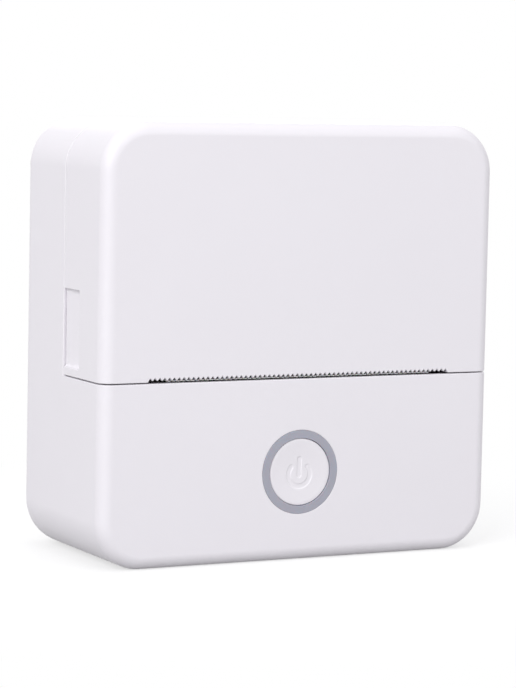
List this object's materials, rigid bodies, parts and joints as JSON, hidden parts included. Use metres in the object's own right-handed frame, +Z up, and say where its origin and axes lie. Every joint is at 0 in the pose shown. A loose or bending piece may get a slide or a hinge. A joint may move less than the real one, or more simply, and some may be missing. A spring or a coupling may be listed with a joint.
{
  "type": "pocket printer",
  "caption": "Square pocket thermal printer with a hinged front cover over its paper roll, a toothed paper slot and a round power button.",
  "frame": {"origin": "middle of the underside, on the surface that the printer stands on", "axes": "+Z up, -Y out of the front with the button, +X to the right seen from the front"},
  "size_m": [0.084, 0.04, 0.084],
  "materials": {
    "white_plastic": "satin moulded white",
    "ring_plastic": "translucent grey lilac",
    "black_plastic": "fine matt black",
    "gear_plastic": "natural acetal",
    "rubber_black": "ground rubber",
    "steel": "bright sheet and turned steel",
    "aluminium": "milled",
    "ceramic": "glazed strip",
    "paper": "thermal paper",
    "card": "grey card",
    "board_green": "solder mask over glass fibre",
    "chip_black": "moulded package",
    "connector_white": "nylon",
    "battery_foil": "foil pouch",
    "foam": "closed cell foam",
    "wire": "insulated wire",
    "flex_amber": "polyimide film",
    "brass": "turned"
  },
  "bodies": {
    "root": {"main_housing": "white_plastic", "rear_panel": "white_plastic", "rear_panel_screws": "steel", "hinge_pins": "steel", "light_ring": "ring_plastic", "switch_body": "black_plastic", "status_leds": "connector_white", "exit_guide": "black_plastic", "roll_tray": "black_plastic", "tray_screws": "steel", "paper_web": "paper", "paper_sensor": "black_plastic", "mechanism_frame": "steel", "frame_screws": "steel", "head_pivot_rod": "steel", "head_spring": "steel", "head_flex": "flex_amber", "motor_body": "steel", "motor_screws": "steel", "gear_posts": "steel", "gear_clips": "steel", "circuit_board": "board_green", "board_screws": "steel", "board_chips": "chip_black", "board_connectors": "connector_white", "usb_socket": "steel", "battery_pack": "battery_foil", "battery_pad": "foam", "battery_leads": "wire"},
    "cover": {"front_cover": "white_plastic", "platen_holder": "black_plastic", "holder_screws": "steel", "platen_bushes": "black_plastic"},
    "platen": {"platen_rubber": "rubber_black", "platen_shaft": "steel", "platen_gear": "gear_plastic"},
    "roll": {"paper_roll": "paper", "roll_core": "card"},
    "idler": {"idler_gear": "gear_plastic"},
    "reduction": {"reduction_gear": "gear_plastic"},
    "motor_rotor": {"motor_shaft": "steel", "motor_pinion": "brass"},
    "head": {"print_head": "ceramic", "heat_sink": "aluminium"},
    "button": {"power_button": "white_plastic", "switch_plunger": "black_plastic"}
  },
  "joints": [
    {"name": "cover_hinge", "type": "hinge", "parent": "root", "child": "cover", "pos_m": [0, 0.0009, 0.0818], "axis": [-1, 0, 0], "range_deg": [0, 95]},
    {"name": "roll_spin", "type": "hinge", "parent": "root", "child": "roll", "pos_m": [0, 0.0005, 0.0595], "axis": [1, 0, 0], "continuous": true},
    {"name": "platen_spin", "type": "hinge", "parent": "cover", "child": "platen", "pos_m": [0, -0.0126, 0.04], "axis": [1, 0, 0], "continuous": true},
    {"name": "idler_spin", "type": "hinge", "parent": "root", "child": "idler", "pos_m": [0, -0.00571, 0.03421], "axis": [1, 0, 0], "continuous": true},
    {"name": "reduction_spin", "type": "hinge", "parent": "root", "child": "reduction", "pos_m": [0, 0.00181, 0.03148], "axis": [1, 0, 0], "continuous": true},
    {"name": "motor_spin", "type": "hinge", "parent": "root", "child": "motor_rotor", "pos_m": [0, 0.01004, 0.02673], "axis": [1, 0, 0], "continuous": true},
    {"name": "head_rock", "type": "hinge", "parent": "root", "child": "head", "pos_m": [0, -0.00239, 0.03732], "axis": [1, 0, 0], "range_deg": [0, 4], "stiffness_Nm_per_rad": 0.3, "springref_deg": -5.73, "deforming": ["head_spring", "head_flex"]},
    {"name": "button_press", "type": "slide", "parent": "root", "child": "button", "axis": [0, 1, 0], "range_m": [0, 0.00035], "stiffness_N_per_m": 600, "springref_m": -0.0005}
  ],
  "couplings": [
    {"joint": "platen_spin", "follows": "roll_spin", "ratio": -3.75},
    {"joint": "idler_spin", "follows": "roll_spin", "ratio": 3},
    {"joint": "reduction_spin", "follows": "roll_spin", "ratio": -5},
    {"joint": "motor_spin", "follows": "roll_spin", "ratio": 14}
  ]
}
